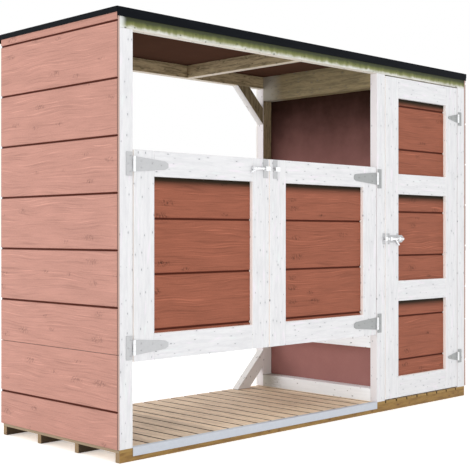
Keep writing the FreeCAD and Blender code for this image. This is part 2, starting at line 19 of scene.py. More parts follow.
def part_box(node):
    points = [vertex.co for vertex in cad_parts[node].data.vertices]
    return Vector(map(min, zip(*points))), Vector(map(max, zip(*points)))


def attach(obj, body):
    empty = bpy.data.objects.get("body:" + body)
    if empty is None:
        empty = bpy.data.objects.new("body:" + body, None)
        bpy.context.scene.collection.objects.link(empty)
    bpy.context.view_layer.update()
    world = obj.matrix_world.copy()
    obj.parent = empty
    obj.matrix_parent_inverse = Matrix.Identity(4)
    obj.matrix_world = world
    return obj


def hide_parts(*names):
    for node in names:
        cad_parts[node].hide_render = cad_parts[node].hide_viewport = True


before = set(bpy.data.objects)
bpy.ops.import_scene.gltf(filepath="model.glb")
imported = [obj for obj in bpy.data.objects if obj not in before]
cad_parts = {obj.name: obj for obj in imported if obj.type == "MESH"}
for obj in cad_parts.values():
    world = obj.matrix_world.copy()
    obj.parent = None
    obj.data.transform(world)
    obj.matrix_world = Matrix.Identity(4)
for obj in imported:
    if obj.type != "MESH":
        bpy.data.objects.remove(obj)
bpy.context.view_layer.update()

# Metres: the spacing of the siding's grooves, and the level of a groove on each piece.
GROOVE_PITCH = 0.203
WALL_GROOVE = 0.5495
BIN_DOOR_GROOVE = 0.4605
TOOL_DOOR_GROOVE = 0.2225
# The plane that hinge leaves lie on, and their thickness.
FRONT_FACE = -0.376
LEAF_THICKNESS = 0.0025

Colour = tuple[float, float, float]

log = logging.getLogger("bin_shed")


# ---------------------------------------------------------------- shader expressions

class Wire:
    """A shader socket that takes part in Python expressions."""

    def __init__(self, graph: "Graph", socket: bpy.types.NodeSocket) -> None:
        """Wrap a socket of a graph's tree.

        Args:
            graph: the graph that new nodes are added to.
            socket: the output socket to wrap.
        """
        self.graph = graph
        self.socket = socket

    def _join(self, operation: str, first: Any, second: Any) -> "Wire":
        """Add the node that joins two values.

        Args:
            operation: the Math or Vector Math operation.
            first: the left-hand value.
            second: the right-hand value.

        Returns:
            The result, a vector where this socket is one.
        """
        if self.socket.type == "VECTOR":
            first, second = (v if isinstance(v, Wire) else (v, v, v) for v in (first, second))
            return self.graph.add("ShaderNodeVectorMath", {"operation": operation},
                                  {0: first, 1: second})
        return self.graph.add("ShaderNodeMath", {"operation": operation}, {0: first, 1: second})

    def __add__(self, other: Any) -> "Wire":
        """Sum."""
        return self._join("ADD", self, other)

    def __radd__(self, other: Any) -> "Wire":
        """Sum, with the number first."""
        return self._join("ADD", other, self)

    def __sub__(self, other: Any) -> "Wire":
        """Difference."""
        return self._join("SUBTRACT", self, other)

    def __rsub__(self, other: Any) -> "Wire":
        """Difference, with the number first."""
        return self._join("SUBTRACT", other, self)

    def __mul__(self, other: Any) -> "Wire":
        """Product."""
        return self._join("MULTIPLY", self, other)

    def __rmul__(self, other: Any) -> "Wire":
        """Product, with the number first."""
        return self._join("MULTIPLY", other, self)

    def __truediv__(self, other: Any) -> "Wire":
        """Quotient."""
        return self._join("DIVIDE", self, other)

    def __pow__(self, other: Any) -> "Wire":
        """Power."""
        return self._join("POWER", self, other)

    def __abs__(self) -> "Wire":
        """Distance from nought."""
        return self._join("ABSOLUTE", self, 0.0)

    def fraction(self) -> "Wire":
        """The part after the point."""
        return self._join("FRACT", self, 0.0)

    def floor(self) -> "Wire":
        """The whole number below."""
        return self._join("FLOOR", self, 0.0)

    def at_least(self, other: Any) -> "Wire":
        """The larger of two values."""
        return self._join("MAXIMUM", self, other)

    def at_most(self, other: Any) -> "Wire":
        """The smaller of two values."""
        return self._join("MINIMUM", self, other)

    def rise(self, start: float, end: float) -> "Wire":
        """A smooth step.

        Args:
            start: where the result is 0.
            end: where the result is 1. It may be below start.

        Returns:
            A value from 0 to 1.
        """
        return self.graph.add(
            "ShaderNodeMapRange", {"interpolation_type": "SMOOTHSTEP"},
            {"Value": self, "From Min": start, "From Max": end})


class Graph:
    """The node tree of one material."""

    def __init__(self, name: str) -> None:
        """Start a material with an empty tree.

        Args:
            name: the material's name.
        """
        self.material = bpy.data.materials.new(name)
        self.material.use_nodes = True
        self.tree = self.material.node_tree
        self.tree.nodes.clear()
        self.place = self.add("ShaderNodeTexCoord", out="Object")
        parts = self.add("ShaderNodeSeparateXYZ", values={0: self.place}).socket.node
        self.x, self.y, self.z = (Wire(self, socket) for socket in parts.outputs)
        facing = self.add("ShaderNodeTexCoord", out="Normal")
        parts = self.add("ShaderNodeSeparateXYZ", values={0: facing}).socket.node
        self.facing_x, self.facing_y, self.facing_z = (
            Wire(self, socket) for socket in parts.outputs)

    def add(self, kind: str, settings: dict[str, Any] | None = None,
            values: dict[str | int, Any] | None = None, out: str | int = 0) -> Wire:
        """Add one node.

        Args:
            kind: the node's type.
            settings: what is set on the node before its sockets; "stops" fills a ramp.
            values: a number, a colour or a Wire for each input named or numbered.
            out: the output to return.

        Returns:
            The chosen output.
        """
        node = self.tree.nodes.new(kind)
        for name, value in (settings or {}).items():
            if name == "stops":
                ramp = node.color_ramp.elements
                while len(ramp) < len(value):
                    ramp.new(0.5)
                for stop, (where, colour) in zip(ramp, value):
                    stop.position = where
                    stop.color = (*colour, 1.0)
            else:
                setattr(node, name, value)
        for key, value in (values or {}).items():
            socket = node.inputs[key]
            if isinstance(value, Wire):
                self.tree.links.new(value.socket, socket)
            elif socket.type == "RGBA" and len(value) == 3:
                socket.default_value = (*value, 1.0)
            else:
                socket.default_value = value
        return Wire(self, node.outputs[out] if node.outputs else None)

    def vector(self, x: Any, y: Any, z: Any) -> Wire:
        """Three numbers as a vector."""
        return self.add("ShaderNodeCombineXYZ", values={0: x, 1: y, 2: z})

    def noise(self, where: Wire, detail: float = 2.0, rough: float = 0.5,
              bend: float = 0.0) -> Wire:
        """Soft noise about 0.5, one lump to each unit of the place given."""
        return self.add("ShaderNodeTexNoise", {"noise_dimensions": "3D"}, {
            "Vector": where, "Scale": 1.0, "Detail": detail, "Roughness": rough,
            "Distortion": bend})

    def spots(self, across: Wire, along: Wire, share: float, size: float) -> Wire:
        """Scattered spots, one in some of the cells of a grid.

        Args:
            across: place across the grid, one cell to a unit.
            along: place along the grid, one cell to a unit.
            share: the share of the cells that has a spot.
            size: a spot's radius in cells.

        Returns:
            1 in a spot's middle and 0 outside.
        """
        cells = self.add("ShaderNodeTexVoronoi", {"voronoi_dimensions": "2D"}, {
            "Vector": self.vector(across, along, 0.0), "Scale": 1.0}, "Distance")
        lot = self.add("ShaderNodeSeparateColor", values={
            0: Wire(self, cells.socket.node.outputs["Color"])}, out=0)
        big = self.add("ShaderNodeSeparateColor", values={
            0: Wire(self, cells.socket.node.outputs["Color"])}, out=1)
        reach = big * (size * 0.7) + size * 0.5
        return (1.0 - cells / reach).at_least(0.0).rise(0.0, 0.6) * lot.rise(share, share - 0.02)

    def blend(self, share: Any, under: Any, over: Any, mode: str = "MIX") -> Wire:
        """Lay one colour over another.

        Args:
            share: how much of the upper colour shows.
            under: the lower colour.
            over: the upper colour.
            mode: how they mix.

        Returns:
            The mixed colour.
        """
        return self.add("ShaderNodeMix", {
            "data_type": "RGBA", "blend_type": mode, "clamp_factor": True},
            {0: share, 6: under, 7: over}, 2)

    def tone(self, colour: Any, amount: Any) -> Wire:
        """A colour made lighter or darker by a factor about 1."""
        return self.add("ShaderNodeVectorMath", {"operation": "SCALE"},
                        {0: colour, "Scale": amount})

    def finish(self, colour: Any, roughness: Any, metallic: Any = 0.0, height: Any = None,
               depth: float = 0.0005, coat: float = 0.0, gloss: float = 0.5,
               glow: float = 0.0) -> None:
        """Close the tree with a surface.

        Args:
            colour: base colour.
            roughness: roughness.
            metallic: how far the surface is bare metal.
            height: relief from 0 to 1, where there is any.
            depth: the relief's full height in metres.
            coat: weight of a clear coat.
            gloss: specular level.
            glow: strength of its own light.
        """
        values = {"Base Color": colour, "Roughness": roughness, "Metallic": metallic,
                  "Coat Weight": coat, "Coat Roughness": 0.3, "Specular IOR Level": gloss}
        if glow:
            values |= {"Emission Color": (1.0, 1.0, 1.0), "Emission Strength": glow}
        if height is not None:
            values["Normal"] = self.add("ShaderNodeBump", values={
                "Strength": 1.0, "Distance": depth, "Height": height})
        surface = self.add("ShaderNodeBsdfPrincipled", values=values)
        self.add("ShaderNodeOutputMaterial", values={"Surface": surface})


# ---------------------------------------------------------------- finishes

class Run(Enum):
    """The way a timber's grain runs."""

    ALONG = "x"
    DEEP = "y"
    UP = "z"


@dataclass(frozen=True)
class Finish(ABC):
    """A paint, timber or metal as it shows on a surface."""

    name: str

    @abstractmethod
    def lay(self, g: Graph) -> None:
        """Fill a material's graph.

        Args:
            g: the graph to fill.
        """

    def material(self) -> bpy.types.Material:
        """The finish's material, made once.

        Returns:
            The material.
        """
        made = bpy.data.materials.get(self.name)
        if made is None:
            graph = Graph(self.name)
            self.lay(graph)
            made = graph.material
        return made

    def run(self, g: Graph, way: Run) -> tuple[Wire, Wire]:
        """Places along and across the grain, measured round a member's corners.

        Args:
            g: the graph.
            way: the way the grain runs.

        Returns:
            The place along the grain and the place across it, in metres.
        """
        if way is Run.ALONG:
            return g.x, g.y + g.z
        if way is Run.DEEP:
            return g.y, g.x + g.z
        return g.z, g.x + g.y


@dataclass(frozen=True)
class Wash:
    """A colour laid over part of a finish, strongest past one end of a stretch."""

    colour: Colour
    axis: str
    clear: float
    full: float
    strength: float = 1.0
    ragged: float = 0.0
    mode: str = "MIX"

    def over(self, g: Graph, colour: Wire, streak: Wire) -> Wire:
        """Lay the wash on a colour.

        Args:
            g: the graph.
            colour: the colour beneath.
            streak: noise about 0.5 that makes the wash's edge ragged.

        Returns:
            The washed colour.
        """
        place = getattr(g, self.axis)
        if self.ragged:
            place = place + (streak - 0.5) * self.ragged
        return g.blend(place.rise(self.clear, self.full) * self.strength, colour,
                       self.colour, self.mode)


@dataclass(frozen=True)
class Timber(Finish):
    """Planed softwood under paint or bare: grain, streaks and knots."""

    way: Run
    pale: Colour
    dark: Colour
    knot: Colour
    knots: float = 0.4
    knot_size: float = 0.07
    streaks: float = 0.5
    roughness: float = 0.55
    relief: float = 0.0003
    tint: float = 0.0
    boards: float = 0.0
    washes: tuple[Wash, ...] = ()

    def lay(self, g: Graph) -> None:
        """Fill the graph with grain, knots, tints and washes."""
        along, across = self.run(g, self.way)
        if self.boards:
            board = (across / self.boards + 0.5).floor()
            along = along + board * 0.37
            across = across + board * 0.11
        swell = g.noise(g.vector(along * 3.0, across * 14.0, 0.0), 2.0)
        knot = g.spots(across / 0.030 + 0.3, along / 0.070 + swell * 0.4, self.knots,
                       self.knot_size)
        halo = g.spots(across / 0.030 + 0.3, along / 0.070 + swell * 0.4, self.knots,
                       self.knot_size * 3.2)
        bent = across + halo * 0.006 + swell * 0.012
        fibre = g.noise(g.vector(along * 38.0, bent * 240.0, 0.0), 3.0, 0.65)
        rings = g.noise(g.vector(along * 7.0, bent * 70.0, 3.0), 3.0, 0.6)
        colour = g.blend((rings.rise(0.42, 0.62) * 0.6 + fibre.rise(0.35, 0.7) * 0.4)
                         * self.streaks, self.pale, self.dark)
        if self.tint:
            blush = g.noise(g.vector(along * 9.0, across * 55.0, 8.0), 1.0)
            colour = g.blend(blush.rise(0.60, 0.72) * self.tint, colour, (0.86, 0.70, 0.84))
            colour = g.blend(blush.rise(0.36, 0.26) * self.tint, colour, (0.70, 0.82, 0.78))
        patch = g.noise(g.vector(along * 5.0, across * 9.0, 5.0), 2.0)
        colour = g.tone(colour, patch * 0.10 + 0.95)
        if self.boards:
            colour = g.tone(colour, g.noise(g.vector(board * 3.7, 0.5, 0.5), 0.0) * 0.5 + 0.75)
        colour = g.blend(halo * 0.22, colour, self.dark)
        # Noise that makes the edges of the height washes ragged, painted shade among them.
        ragged_edge_noise = g.noise(g.vector(g.x * 30.0 + g.y * 30.0, g.z * 9.0, 2.0), 3.0, 0.6)
        for wash in self.washes:
            colour = wash.over(g, colour, ragged_edge_noise if wash.axis == "z" else fibre)
        colour = g.blend(knot * 0.85, colour, self.knot)
        height = fibre * 0.6 + rings * 0.4 - knot * 0.5
        g.finish(colour, fibre * 0.12 + (self.roughness - 0.06), height=height,
                 depth=self.relief, gloss=0.35)


@dataclass(frozen=True)
class Siding(Finish):
    """Embossed sheet with pressed grooves: wavy grain between dark lines of painted shade in the
    grooves.
    """

    paint: Colour
    groove: Colour
    face: str
    outer: float
    inward: float
    level: float
    pitch: float = GROOVE_PITCH
    contrast: float = 0.30
    way: Run = Run.ALONG
    drift: float = 0.0
    gloss: float = 0.08
    edge: Colour = (0.42, 0.29, 0.25)
    back: Colour = (0.22, 0.085, 0.070)
    edge_line: Colour = (0.13, 0.060, 0.045)
    # Painted shadow under each top rail: the top and height of each dark stretch, and its colour.
    shades: tuple[tuple[float, float], ...] = ()
    shade: Colour = (0.016, 0.010, 0.004)

    def lay(self, g: Graph) -> None:
        """Fill the graph with embossed grain, painted shade in the grooves, a painted shadow
        under each top rail, and edges.
        """
        along = getattr(g, self.way.value) + self.drift
        board = ((g.z - self.level) / self.pitch).floor()
        lift = ((g.z - self.level) / self.pitch).fraction()
        along = along + board * 0.43
        bend = g.noise(g.vector(along * 3.2, g.z * 11.0, board * 1.7), 1.5, 0.45)
        flow = g.z + (bend - 0.5) * 0.050
        fibre = g.noise(g.vector(along * 9.0, flow * 360.0, 1.0), 3.0, 0.6)
        lines = g.noise(g.vector(along * 3.2, flow * 165.0, 3.0), 2.5, 0.6)
        lively = abs(lift - 0.66).rise(0.46, 0.12) * 0.8 + 0.2
        crest = lines.rise(0.57, 0.68) * lively
        trough = lines.rise(0.46, 0.34)
        knot = g.spots(along / 0.15, g.z / 0.055, 0.34, 0.30)
        whorl = g.noise(g.vector(along * 130.0 + g.z * 60.0, g.z * 70.0, 2.0), 2.0, 0.7)
        whorl = whorl.rise(0.46, 0.60)
        speck = g.noise(g.vector(along * 120.0, g.z * 300.0, 4.0), 2.0, 0.7)
        patch = g.noise(g.vector(along * 5.0, g.z * 20.0, 9.0), 2.0)
        tone = (1.0 + crest * self.contrast - trough * (self.contrast * 0.45)
                + (fibre - 0.5) * (self.contrast * 1.5) + (speck - 0.5) * 0.34
                + (patch - 0.5) * 0.30 - knot * whorl * (self.contrast * 1.1))
        colour = g.tone(self.paint, tone)
        deep = (getattr(g, self.face) - self.outer) * self.inward
        flat = abs(getattr(g, "facing_" + self.face))
        # Painted shadow under each top rail, darkest at the panel's top and fading downwards.
        for top, height in self.shades:
            band = (g.z + (fibre - 0.5) * 0.006).rise(top - height, top - height * 0.12)
            band = band * band
            inside = g.z.rise(top + 0.004, top + 0.003)
            colour = g.blend(band * inside, colour, self.shade)
        # Painted shade: the groove walls and floor are laid in a dark red-brown.
        colour = g.blend(deep.rise(0.0018, 0.0034), colour, self.groove)
        colour = g.blend(deep.rise(0.0070, 0.0080), colour, self.back)
        side = g.blend(deep.rise(0.0020, 0.0045), self.edge_line, self.edge)
        colour = g.blend(flat.rise(0.20, 0.05), colour, side)
        height = (crest * 0.6 - trough * 0.3 + fibre * 0.35 - knot * whorl * 0.4)
        g.finish(colour, speck * 0.2 + 0.45, height=height, depth=0.0009, gloss=self.gloss)


@dataclass(frozen=True)
class Board(Finish):
    """Smooth film-faced board, with a faint mottle."""

    colour: Colour
    lit: Colour
    axis: str = "z"
    dim: float = 0.0
    bright: float = 1.0
    gloss: float = 0.1

    def lay(self, g: Graph) -> None:
        """Fill the graph with two shades and a mottle."""
        cloud = g.noise(g.place * 9.0, 3.0, 0.6)
        speck = g.noise(g.vector(g.y * 300.0 + g.x * 300.0, g.z * 90.0, 0.0), 2.0, 0.7)
        place = getattr(g, self.axis) + (cloud - 0.5) * 0.18
        # The colour runs from the first to the lit one along the axis; on the partition this is
        # painted shade and light.
        colour = g.blend(place.rise(self.dim, self.bright), self.colour, self.lit)
        colour = g.tone(colour, 0.78 + cloud * 0.24 + speck * 0.20)
        g.finish(colour, speck * 0.2 + 0.42, height=speck, depth=0.0001, gloss=self.gloss)


@dataclass(frozen=True)
class Metal(Finish):
    """Zinc-coated or bare steel: faint spangle, brushing, scuffs and a painted highlight where it
    stands proudest.
    """

    colour: Colour
    shine: float = 0.6
    roughness: float = 0.42
    spangle: float = 0.10
    brush: float = 0.06
    barrel_highlight: Colour = (0.80, 0.81, 0.82)
    proud: float = -0.3802

    def lay(self, g: Graph) -> None:
        """Fill the graph with spangle, brushing and the painted highlight."""
        cells = g.add("ShaderNodeTexVoronoi", {"voronoi_dimensions": "3D"}, {
            "Vector": g.place, "Scale": 130.0}, "Color")
        lot = g.add("ShaderNodeSeparateColor", values={0: cells}, out=0)
        brush = g.noise(g.vector(g.x * 60.0, g.y * 900.0, g.z * 900.0), 2.0, 0.6)
        cloud = g.noise(g.place * 55.0, 2.0)
        tone = (1.0 + (lot - 0.5) * self.spangle + (brush - 0.5) * self.brush
                + (cloud - 0.5) * 0.10)
        # Painted highlight: the hinge knuckle, standing proud of the leaves, is laid near white.
        colour = g.blend(g.y.rise(self.proud, self.proud - 0.0008), self.colour, self.barrel_highlight)
        g.finish(g.tone(colour, tone),
                 self.roughness - 0.08 + lot * 0.08 + cloud * 0.08,
                 self.shine, brush * 0.5 + lot * 0.5, 0.00006)


@dataclass(frozen=True)
class Trim(Finish):
    """Coated sheet-metal trim, satin, with dust and fine scratches."""

    colour: Colour = (0.0025, 0.0034, 0.0052)
    dust: Colour = (0.012, 0.0145, 0.019)

    def lay(self, g: Graph) -> None:
        """Fill the graph with a dusty satin coat."""
        cloud = g.noise(g.vector(g.x * 5.0 + g.y * 5.0, g.z * 40.0, g.y * 3.0), 3.0, 0.6)
        fine = g.noise(g.place * 420.0, 2.0, 0.6)
        colour = g.blend(cloud.rise(0.35, 0.8) * 0.22 + fine * 0.08, self.colour, self.dust)
        g.finish(colour, cloud * 0.2 + 0.38, 0.0, fine, 0.00008, gloss=0.05)


@dataclass(frozen=True)
class Felt(Finish):
    """Black mineral roofing felt with fine granules."""

    colour: Colour = (0.018, 0.019, 0.021)
    grit: Colour = (0.085, 0.088, 0.094)

    def lay(self, g: Graph) -> None:
        """Fill the graph with granules and weathering."""
        grain = g.add("ShaderNodeTexVoronoi", {"voronoi_dimensions": "3D"}, {
            "Vector": g.place, "Scale": 520.0}, "Distance")
        lot = g.noise(g.place * 700.0, 1.0)
        cloud = g.noise(g.place * 6.0, 3.0, 0.6)
        colour = g.blend(lot.rise(0.48, 0.72) * 0.6 + cloud.rise(0.4, 0.8) * 0.25,
                         self.colour, self.grit)
        g.finish(colour, 0.93, height=1.0 - grain, depth=0.0006, gloss=0.2)


class Palette:
    """The finishes of this shed, by the piece they go on."""

    WHITE: Colour = (0.655, 0.655, 0.665)
    WHITE_GRAIN: Colour = (0.50, 0.505, 0.525)
    KNOT: Colour = (0.22, 0.23, 0.245)
    # Painted shade: the white timber under the roof as a greenish brown.
    OLIVE_SHADE: Colour = (0.44, 0.35, 0.205)
    OLIVE_SHADE_DARK: Colour = (0.125, 0.093, 0.045)
    BRICK: Colour = (0.262, 0.088, 0.053)
    # Painted sheen: the walls carry the doors' brick red made paler, as under a glossy
    # reflection.
    SALMON_SHEEN: Colour = (0.45, 0.232, 0.186)
    # Painted shade laid in the siding's grooves.
    GROOVE_SHADE: Colour = (0.070, 0.013, 0.006)

    @classmethod
    def white(cls, name: str, way: Run, washes: tuple[Wash, ...] = ()) -> Timber:
        """Thin white paint over softwood.

        Args:
            name: the material's name.
            way: the way the grain runs.
            washes: colours over parts of it.

        Returns:
            The finish.
        """
        return Timber(name, way, cls.WHITE, cls.WHITE_GRAIN, cls.KNOT, 0.70, 0.080, 0.50,
                      0.5, 0.0003, 0.20, washes=washes)

    @classmethod
    def shaded_white(cls, name: str, way: Run, washes: tuple[Wash, ...] = ()) -> Timber:
        """White-painted softwood under the roof, its shade painted into a greenish-brown colour.

        Args:
            name: the material's name.
            way: the way the grain runs.
            washes: colours over parts of it.

        Returns:
            The finish.
        """
        return Timber(name, way, cls.OLIVE_SHADE, cls.OLIVE_SHADE_DARK, (0.025, 0.018, 0.008), 0.85,
                      0.085, 0.95, 0.6, 0.0004, washes=washes)


# ---------------------------------------------------------------- mesh tools

def loose_parts(bm: bmesh.types.BMesh) -> list[list[bmesh.types.BMVert]]:
    """The vertices of each separate solid in a mesh.

    Args:
        bm: the mesh.

    Returns:
        One list of vertices to a solid.
    """
    seen: set[int] = set()
    parts = []
    for first in bm.verts:
        if first.index in seen:
            continue
        seen.add(first.index)
        queue, part = [first], []
        while queue:
            vert = queue.pop()
            part.append(vert)
            for edge in vert.link_edges:
                other = edge.other_vert(vert)
                if other.index not in seen:
                    seen.add(other.index)
                    queue.append(other)
        parts.append(part)
    return parts


def cad_mesh(node: str) -> bmesh.types.BMesh:
    """A CAD node's mesh with its split vertices joined.

    Args:
        node: the node's name.

    Returns:
        A mesh to be freed by the caller.
    """
    bm = bmesh.new()
    bm.from_mesh(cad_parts[node].data)
    bmesh.ops.remove_doubles(bm, verts=bm.verts, dist=1e-6)
    bmesh.ops.dissolve_limit(bm, angle_limit=math.radians(0.5), verts=bm.verts, edges=bm.edges)
    bm.verts.index_update()
    return bm


def part_boxes(node: str) -> list[tuple[Vector, Vector]]:
    """The lowest and highest corner of each solid of a CAD node.

    Args:
        node: the node's name.

    Returns:
        One pair of corners to a solid, from the lowest solid up.
    """
    bm = cad_mesh(node)
    boxes = []
    for part in loose_parts(bm):
        boxes.append((Vector(min(v.co[i] for v in part) for i in range(3)),
                      Vector(max(v.co[i] for v in part) for i in range(3))))
    bm.free()
    return sorted(boxes, key=lambda box: box[0].z)


def to_object(bm: bmesh.types.BMesh, name: str, smooth: float = 0.0) -> bpy.types.Object:
    """Turn a mesh into an object in the scene and free it.

    Args:
        bm: the mesh.
        name: the object's name.
        smooth: edges flatter than this many degrees are shaded smooth.

    Returns:
        The object.
    """
    bmesh.ops.recalc_face_normals(bm, faces=bm.faces)
    mesh = bpy.data.meshes.new(name)
    bm.to_mesh(mesh)
    bm.free()
    if smooth:
        mesh.polygons.foreach_set("use_smooth", [True] * len(mesh.polygons))
        mesh.set_sharp_from_angle(angle=math.radians(smooth))
    made = bpy.data.objects.new(name, mesh)
    bpy.context.scene.collection.objects.link(made)
    return made


def eased(node: str, width: float, steps: int = 2, sharp: float = 25.0,
          smooth: float = 0.0) -> bpy.types.Object:
    """A copy of a CAD node with its sharp edges eased.

    Args:
        node: the node's name.
        width: how far from the edge the easing starts.
        steps: the number of facets across it.
        sharp: edges sharper than this many degrees are eased.
        smooth: as for to_object.

    Returns:
        The copy.
    """
    bm = cad_mesh(node)
    edges = [e for e in bm.edges
             if len(e.link_faces) == 2 and e.calc_face_angle(0.0) > math.radians(sharp)]
    bmesh.ops.bevel(bm, geom=edges, offset=width, segments=steps, profile=0.5,
                    affect="EDGES", clamp_overlap=True)
    return to_object(bm, node + "_eased", smooth)


def screw_head(bm: bmesh.types.BMesh, at: Vector, axis: Vector, radius: float,
               spin: float = 0.0) -> None:
    """Add a low-domed screw head with a cross recess.

    Args:
        bm: the mesh to add to.
        at: the middle of the head's underside.
        axis: the way the head faces.
        radius: the head's radius.
        spin: turn of the recess, in radians.
    """
    turn = (Vector((0, 0, 1)).rotation_difference(axis).to_matrix().to_4x4()
            @ Matrix.Rotation(spin, 4, "Z"))
    move = Matrix.Translation(at) @ turn
    tall, slot, sink = radius * 0.30, radius * 0.13, radius * 0.26
    # The recess is a plus of twelve corners; the dome joins it to the rim.
    arm = radius * 0.52
    plus = [(slot, slot), (arm, slot), (arm, -slot), (slot, -slot), (slot, -arm),
            (-slot, -arm), (-slot, -slot), (-arm, -slot), (-arm, slot), (-slot, slot),
            (-slot, arm), (slot, arm)]
    rim_angles = [math.atan2(y, x) for x, y in plus]

    def ring(size: float, height: float) -> list[bmesh.types.BMVert]:
        """A circle whose points face the recess's corners."""
        return [bm.verts.new(move @ Vector((size * math.cos(a), size * math.sin(a), height)))
                for a in rim_angles]

    base, rim = ring(radius, 0.0), ring(radius, tall * 0.35)
    crown = ring(radius * 0.80, tall * 0.85)
    mouth = [bm.verts.new(move @ Vector((x, y, tall))) for x, y in plus]
    floor = [bm.verts.new(move @ Vector((x * 0.8, y * 0.8, tall - sink))) for x, y in plus]
    for low, high in zip((base, rim, crown, mouth), (rim, crown, mouth, floor)):
        for i in range(len(plus)):
            j = (i + 1) % len(plus)
            bm.faces.new((low[i], low[j], high[j], high[i]))
    bm.faces.new(base)
    bm.faces.new(floor)


# ---------------------------------------------------------------- assemblies

@dataclass
class Assembly(ABC):
    """A part of the shed that is built and dressed together."""

    pieces: list[bpy.types.Object] = field(default_factory=list, init=False)

    @abstractmethod
    def build(self) -> None:
        """Make the pieces and dress them."""

    def dress(self, piece: bpy.types.Object, finish: Finish) -> None:
        """Give a piece its only finish.

        Args:
            piece: the object.
            finish: what covers it.
        """
        piece.data.materials.clear()
        piece.data.materials.append(finish.material())

    def keep(self, piece: bpy.types.Object, finish: Finish, body: str, slot: str,
             *nodes: str) -> bpy.types.Object:
        """Dress a new piece and fix it to a body.

        Args:
            piece: the object.
            finish: what covers it.
            body: the body it rides on.
            slot: not used.
            nodes: the CAD nodes it stands for.

        Returns:
            The piece.
        """
        self.dress(piece, finish)
        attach(piece, body)
        if nodes:
            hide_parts(*nodes)
        self.pieces.append(piece)
        log.info("%s: %d faces on %s", piece.name, len(piece.data.polygons), body)
        return piece

    def ease(self, node: str, finish: Finish, body: str, slot: str, width: float = 0.0012,
             steps: int = 2, smooth: float = 0.0) -> bpy.types.Object:
        """Stand an eased copy in a CAD node's place.

        Args:
            node: the node.
            finish: what covers it.
            body: the body it rides on.
            slot: passed on to keep, which does not use it.
            width: width of the eased edge.
            steps: facets across it.
            smooth: as for to_object.

        Returns:
            The copy.
        """
        return self.keep(eased(node, width, steps, smooth=smooth), finish, body, slot, node)

    def repaint(self, node: str, finish: Finish) -> None:
        """Give a CAD node that stays as it is its finish."""
        self.dress(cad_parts[node], finish)
        log.info("%s: repainted", node)


@dataclass
class Floor(Assembly):
    """Joists with deck boards across them and a metal angle along the bay's edge."""

    board_pitch: float = 0.0814
    board_gap: float = 0.0080
    board_round: float = 0.0025

    def build(self) -> None:
        """Make the boards, joists and angle."""
        low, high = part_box("floor_deck")
        count = round((high.x - low.x + self.board_gap) / self.board_pitch)
        pitch = (high.x - low.x + self.board_gap) / count
        dice = random.Random(4)
        bm = bmesh.new()
        for i in range(count):
            left = low.x + i * pitch
            self.board(bm, left, left + pitch - self.board_gap, low, high, dice)
        amber = Wash((0.275, 0.165, 0.045), "y", low.y + 0.0020, low.y + 0.0010)
        # Painted shade: the boards' sides are laid dark brown, so that the spaces between boards
        # read dark.
        gap_shade = (0.030, 0.018, 0.010)
        seam_shades = (Wash(gap_shade, "facing_x", -0.3, -0.6), Wash(gap_shade, "facing_x", 0.3, 0.6),
                 Wash((0.33, 0.25, 0.16), "x", low.x + 0.0008, low.x + 0.0003))
        boards = Timber("deck_boards", Run.DEEP, (0.78, 0.605, 0.435), (0.46, 0.33, 0.215),
                        (0.16, 0.10, 0.05), knots=0.10, knot_size=0.05, streaks=0.9,
                        roughness=0.6, relief=0.0004, boards=pitch,
                        washes=(*seam_shades, amber))
        self.keep(to_object(bm, "floor_boards"), boards, "shed", "plain_timber", "floor_deck")
        # Painted shade: behind the front joist's face the joists are laid near-black, the shade
        # under the deck.
        joists = Timber("joist_timber", Run.ALONG, (0.275, 0.160, 0.040), (0.17, 0.085, 0.018),
                        (0.10, 0.030, 0.010), knots=0.60, knot_size=0.13, streaks=1.0,
                        roughness=0.6, relief=0.0004,
                        washes=(Wash((0.035, 0.022, 0.010), "y", low.y + 0.002,
                                     low.y + 0.010, 0.97),
                                Wash((0.26, 0.175, 0.09), "facing_x", -0.6, -0.9)))
        self.ease("floor_joists", joists, "shed", "plain_timber", 0.0015)
        angle = Metal("edge_angle_metal", (0.46, 0.49, 0.54), 0.15, 0.40, 0.03, 0.03,
                      (0.46, 0.49, 0.54))
        self.ease("front_edge_angle", angle, "shed", "galvanised_steel", 0.0005)

    def board(self, bm: bmesh.types.BMesh, left: float, right: float, low: Vector,
              high: Vector, dice: random.Random) -> None:
        """Add one deck board with rounded upper edges.

        Args:
            bm: the mesh to add to.
            left: the board's left side.
            right: the board's right side.
            low: the deck's lowest corner.
            high: the deck's highest corner.
            dice: where the small differences come from.
        """
        r = self.board_round
        outline = [(left, low.z), (right, low.z), (right, high.z - r),
                   (right - r * 0.3, high.z - r * 0.3), (right - r, high.z),
                   (left + r, high.z), (left + r * 0.3, high.z - r * 0.3), (left, high.z - r)]
        front = low.y + dice.uniform(0.0, 0.0007)
        ends = [[bm.verts.new((x, y, z)) for x, z in outline] for y in (front, high.y)]
        bm.faces.new(ends[0])
        bm.faces.new(ends[1])
        for i in range(len(outline)):
            j = (i + 1) % len(outline)
            bm.faces.new((ends[0][i], ends[0][j], ends[1][j], ends[1][i]))


